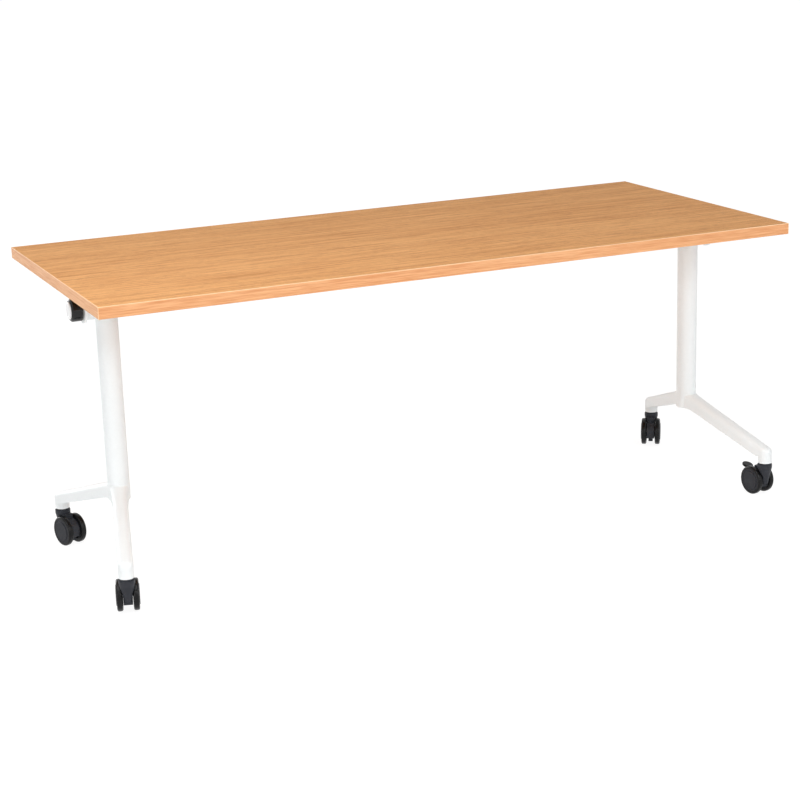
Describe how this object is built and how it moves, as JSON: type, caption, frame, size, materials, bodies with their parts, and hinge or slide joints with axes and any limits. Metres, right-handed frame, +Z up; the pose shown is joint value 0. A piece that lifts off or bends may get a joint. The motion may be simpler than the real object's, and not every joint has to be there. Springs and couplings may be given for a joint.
{
  "type": "flip-top mobile table",
  "caption": "Rectangular wood-look table on castors: banded board hinged near its middle on round columns with splayed cast feet, so it flips upright to nest.",
  "frame": {"origin": "on the floor, under the centre of the board", "axes": "+X along the board, +Y towards the back edge, +Z up"},
  "size_m": [1.8, 0.8, 0.73],
  "materials": {
    "beech_laminate": "fine satin wood-grain laminate on chipboard",
    "edge_band": "wood-print plastic edging with eased arris",
    "white_coat": "white satin powder coat",
    "castor_plastic": "black satin nylon",
    "wheel_plastic": "dark grey fine-texture nylon",
    "tyre_rubber": "smooth glossy black polyurethane",
    "white_plastic": "white moulded cap",
    "bush_plastic": "grey bearing plastic",
    "bumper_rubber": "soft black rubber",
    "steel": "zinc-plated steel"
  },
  "bodies": {
    "frame": {"back_left_castor_stem": "steel", "back_right_castor_stem": "steel", "beam_screws": "steel", "cross_beam": "white_coat", "foot_bolts": "steel", "front_left_castor_stem": "steel", "front_right_castor_stem": "steel", "left_button_spring": "bumper_rubber", "left_column": "white_coat", "left_column_head": "white_coat", "left_foot": "white_coat", "left_friction_disc": "bush_plastic", "left_hub_housing": "castor_plastic", "left_pivot_shaft": "steel", "rest_bumpers": "bumper_rubber", "right_button_spring": "bumper_rubber", "right_column": "white_coat", "right_column_head": "white_coat", "right_foot": "white_coat", "right_friction_disc": "bush_plastic", "right_hub_housing": "castor_plastic", "right_pivot_shaft": "steel"},
    "top": {"bracket_screws": "steel", "edge_band_long": "edge_band", "edge_band_short": "edge_band", "left_hinge_bush": "bush_plastic", "left_top_bracket": "white_coat", "right_hinge_bush": "bush_plastic", "right_top_bracket": "white_coat", "top_panel": "beech_laminate"},
    "back_left_castor": {"back_left_axle": "steel", "back_left_castor_body": "castor_plastic"},
    "back_left_inner_wheel": {"back_left_inner_tyre": "tyre_rubber", "back_left_inner_wheel": "wheel_plastic"},
    "back_left_outer_wheel": {"back_left_outer_tyre": "tyre_rubber", "back_left_outer_wheel": "wheel_plastic"},
    "back_right_castor": {"back_right_axle": "steel", "back_right_castor_body": "castor_plastic"},
    "back_right_inner_wheel": {"back_right_inner_tyre": "tyre_rubber", "back_right_inner_wheel": "wheel_plastic"},
    "back_right_outer_wheel": {"back_right_outer_tyre": "tyre_rubber", "back_right_outer_wheel": "wheel_plastic"},
    "front_left_castor": {"front_left_axle": "steel", "front_left_castor_body": "castor_plastic"},
    "front_left_brake": {"front_left_brake_paddle": "castor_plastic"},
    "front_left_inner_wheel": {"front_left_inner_tyre": "tyre_rubber", "front_left_inner_wheel": "wheel_plastic"},
    "front_left_outer_wheel": {"front_left_outer_tyre": "tyre_rubber", "front_left_outer_wheel": "wheel_plastic"},
    "front_right_castor": {"front_right_axle": "steel", "front_right_castor_body": "castor_plastic"},
    "front_right_brake": {"front_right_brake_paddle": "castor_plastic"},
    "front_right_inner_wheel": {"front_right_inner_tyre": "tyre_rubber", "front_right_inner_wheel": "wheel_plastic"},
    "front_right_outer_wheel": {"front_right_outer_tyre": "tyre_rubber", "front_right_outer_wheel": "wheel_plastic"},
    "left_button": {"left_release_button": "white_plastic"},
    "right_button": {"right_release_button": "white_plastic"}
  },
  "joints": [
    {"name": "top_flip", "type": "hinge", "parent": "frame", "child": "top", "pos_m": [0, -0.091, 0.66], "axis": [1, 0, 0], "range_deg": [0, 90]},
    {"name": "left_button_press", "type": "slide", "parent": "frame", "child": "left_button", "axis": [1, 0, 0], "range_m": [0, 0.004], "stiffness_N_per_m": 900, "springref_m": -0.003, "deforming": ["left_button_spring"]},
    {"name": "right_button_press", "type": "slide", "parent": "frame", "child": "right_button", "axis": [-1, 0, 0], "range_m": [0, 0.004], "stiffness_N_per_m": 900, "springref_m": -0.003, "deforming": ["right_button_spring"]},
    {"name": "front_left_swivel", "type": "hinge", "parent": "frame", "child": "front_left_castor", "pos_m": [-0.87, -0.363, 0.09], "axis": [0, 0, 1], "continuous": true},
    {"name": "front_left_inner_roll", "type": "hinge", "parent": "front_left_castor", "child": "front_left_inner_wheel", "pos_m": [-0.86228, -0.33609, 0.0375], "axis": [-0.9613, 0.2756, 0], "continuous": true},
    {"name": "front_left_outer_roll", "type": "hinge", "parent": "front_left_castor", "child": "front_left_outer_wheel", "pos_m": [-0.86228, -0.33609, 0.0375], "axis": [-0.9613, 0.2756, 0], "continuous": true},
    {"name": "front_left_brake_press", "type": "hinge", "parent": "front_left_castor", "child": "front_left_brake", "pos_m": [-0.85898, -0.32455, 0.0545], "axis": [-0.9613, 0.2756, 0], "range_deg": [0, 12]},
    {"name": "front_right_swivel", "type": "hinge", "parent": "frame", "child": "front_right_castor", "pos_m": [0.87, -0.363, 0.09], "axis": [0, 0, 1], "continuous": true},
    {"name": "front_right_inner_roll", "type": "hinge", "parent": "front_right_castor", "child": "front_right_inner_wheel", "pos_m": [0.86659, -0.33521, 0.0375], "axis": [-0.9925, -0.1219, 0], "continuous": true},
    {"name": "front_right_outer_roll", "type": "hinge", "parent": "front_right_castor", "child": "front_right_outer_wheel", "pos_m": [0.86659, -0.33521, 0.0375], "axis": [-0.9925, -0.1219, 0], "continuous": true},
    {"name": "front_right_brake_press", "type": "hinge", "parent": "front_right_castor", "child": "front_right_brake", "pos_m": [0.86513, -0.3233, 0.0545], "axis": [-0.9925, -0.1219, 0], "range_deg": [0, 12]},
    {"name": "back_left_swivel", "type": "hinge", "parent": "frame", "child": "back_left_castor", "pos_m": [-0.87, 0.201, 0.09], "axis": [0, 0, 1], "continuous": true},
    {"name": "back_left_inner_roll", "type": "hinge", "parent": "back_left_castor", "child": "back_left_inner_wheel", "pos_m": [-0.86135, 0.17437, 0.0375], "axis": [0.9511, 0.309, 0], "continuous": true},
    {"name": "back_left_outer_roll", "type": "hinge", "parent": "back_left_castor", "child": "back_left_outer_wheel", "pos_m": [-0.86135, 0.17437, 0.0375], "axis": [0.9511, 0.309, 0], "continuous": true},
    {"name": "back_right_swivel", "type": "hinge", "parent": "frame", "child": "back_right_castor", "pos_m": [0.87, 0.201, 0.09], "axis": [0, 0, 1], "continuous": true},
    {"name": "back_right_inner_roll", "type": "hinge", "parent": "back_right_castor", "child": "back_right_inner_wheel", "pos_m": [0.85434, 0.17779, 0.0375], "axis": [0.829, -0.5592, 0], "continuous": true},
    {"name": "back_right_outer_roll", "type": "hinge", "parent": "back_right_castor", "child": "back_right_outer_wheel", "pos_m": [0.85434, 0.17779, 0.0375], "axis": [0.829, -0.5592, 0], "continuous": true}
  ]
}
